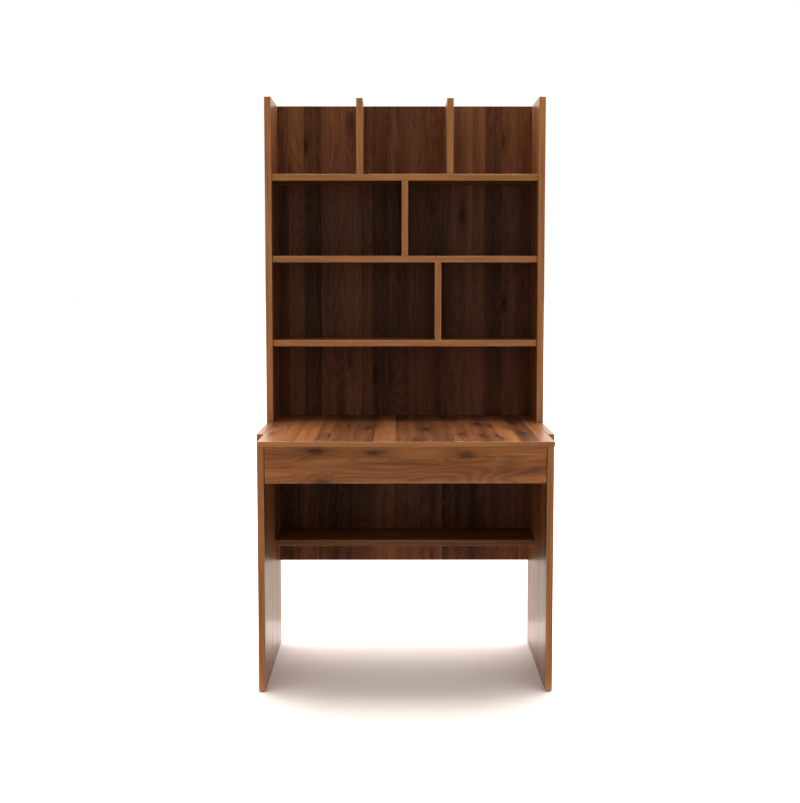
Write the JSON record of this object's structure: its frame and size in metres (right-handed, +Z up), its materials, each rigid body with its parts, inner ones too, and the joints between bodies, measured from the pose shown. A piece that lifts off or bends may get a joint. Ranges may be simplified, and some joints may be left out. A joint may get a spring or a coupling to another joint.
{
  "type": "desk with bookcase hutch",
  "caption": "Writing desk with one wide drawer and an overhanging top, carrying an open bookcase hutch whose bays are split by dividers.",
  "frame": {"origin": "on the floor under the middle of the whole object's box", "axes": "+Z up, the front with the drawer faces -Y, +X to the sitter's right"},
  "size_m": [0.86, 0.642, 1.763],
  "materials": {
    "walnut_board": "semi-gloss lacquered walnut boards glued up from staves",
    "drawer_wood": "clear-lacquered birch",
    "dowel_wood": "raw beech",
    "zinc_steel": "bright zinc-plated steel",
    "cam_zinc": "die-cast zinc, dull",
    "ball_steel": "polished bearing steel",
    "bracket_paint": "dark brown powder coat",
    "brown_plastic": "moulded, matt",
    "black_rubber": "matt"
  },
  "bodies": {
    "carcass": {"desk_side_left": "walnut_board", "desk_side_right": "walnut_board", "desktop": "walnut_board", "under_desk_shelf": "walnut_board", "desk_back_panel": "walnut_board", "hutch_side_left": "walnut_board", "hutch_side_right": "walnut_board", "hutch_back_panel": "walnut_board", "hutch_shelf_top": "walnut_board", "hutch_shelf_middle": "walnut_board", "hutch_shelf_lower": "walnut_board", "upper_divider_left": "walnut_board", "upper_divider_right": "walnut_board", "middle_divider": "walnut_board", "lower_divider": "walnut_board", "floor_glides": "brown_plastic", "board_dowels": "dowel_wood", "panel_dowels": "dowel_wood", "cam_bolts": "zinc_steel", "cam_locks": "cam_zinc", "cam_caps": "brown_plastic", "desktop_cam_bolts": "zinc_steel", "desktop_cam_locks": "cam_zinc", "divider_screws": "zinc_steel", "back_panel_screws": "zinc_steel", "joining_plates": "zinc_steel", "plate_screws": "zinc_steel", "wall_brackets": "bracket_paint", "bracket_screws": "zinc_steel", "slide_outer_left": "zinc_steel", "slide_outer_right": "zinc_steel", "slide_bumpers": "black_rubber", "slide_case_screws": "zinc_steel"},
    "drawer": {"slide_inner_left": "zinc_steel", "slide_inner_right": "zinc_steel", "slide_drawer_screws": "zinc_steel", "drawer_front": "walnut_board", "drawer_side_left": "drawer_wood", "drawer_side_right": "drawer_wood", "drawer_back": "drawer_wood", "drawer_bottom": "drawer_wood", "drawer_dowels": "dowel_wood", "drawer_cam_bolts": "zinc_steel", "drawer_cam_locks": "cam_zinc", "drawer_back_screws": "zinc_steel", "drawer_bottom_screws": "zinc_steel"},
    "left_middle_member": {"slide_middle_left": "zinc_steel"},
    "left_outer_cage": {"outer_cage_left": "zinc_steel", "outer_balls_left": "ball_steel"},
    "left_inner_cage": {"inner_cage_left": "zinc_steel", "inner_balls_left": "ball_steel"},
    "right_middle_member": {"slide_middle_right": "zinc_steel"},
    "right_outer_cage": {"outer_cage_right": "zinc_steel", "outer_balls_right": "ball_steel"},
    "right_inner_cage": {"inner_cage_right": "zinc_steel", "inner_balls_right": "ball_steel"}
  },
  "joints": [
    {"name": "drawer_slide", "type": "slide", "parent": "carcass", "child": "drawer", "axis": [0, -1, 0], "range_m": [0, 0.35]},
    {"name": "left_middle_member_slide", "type": "slide", "parent": "carcass", "child": "left_middle_member", "axis": [0, -1, 0], "range_m": [0, 0.175]},
    {"name": "left_outer_cage_slide", "type": "slide", "parent": "carcass", "child": "left_outer_cage", "axis": [0, -1, 0], "range_m": [0, 0.0875]},
    {"name": "left_inner_cage_slide", "type": "slide", "parent": "carcass", "child": "left_inner_cage", "axis": [0, -1, 0], "range_m": [0, 0.2625]},
    {"name": "right_middle_member_slide", "type": "slide", "parent": "carcass", "child": "right_middle_member", "axis": [0, -1, 0], "range_m": [0, 0.175]},
    {"name": "right_outer_cage_slide", "type": "slide", "parent": "carcass", "child": "right_outer_cage", "axis": [0, -1, 0], "range_m": [0, 0.0875]},
    {"name": "right_inner_cage_slide", "type": "slide", "parent": "carcass", "child": "right_inner_cage", "axis": [0, -1, 0], "range_m": [0, 0.2625]}
  ],
  "couplings": [
    {"joint": "left_middle_member_slide", "follows": "drawer_slide", "ratio": 0.5},
    {"joint": "left_outer_cage_slide", "follows": "drawer_slide", "ratio": 0.25},
    {"joint": "left_inner_cage_slide", "follows": "drawer_slide", "ratio": 0.75},
    {"joint": "right_middle_member_slide", "follows": "drawer_slide", "ratio": 0.5},
    {"joint": "right_outer_cage_slide", "follows": "drawer_slide", "ratio": 0.25},
    {"joint": "right_inner_cage_slide", "follows": "drawer_slide", "ratio": 0.75}
  ]
}
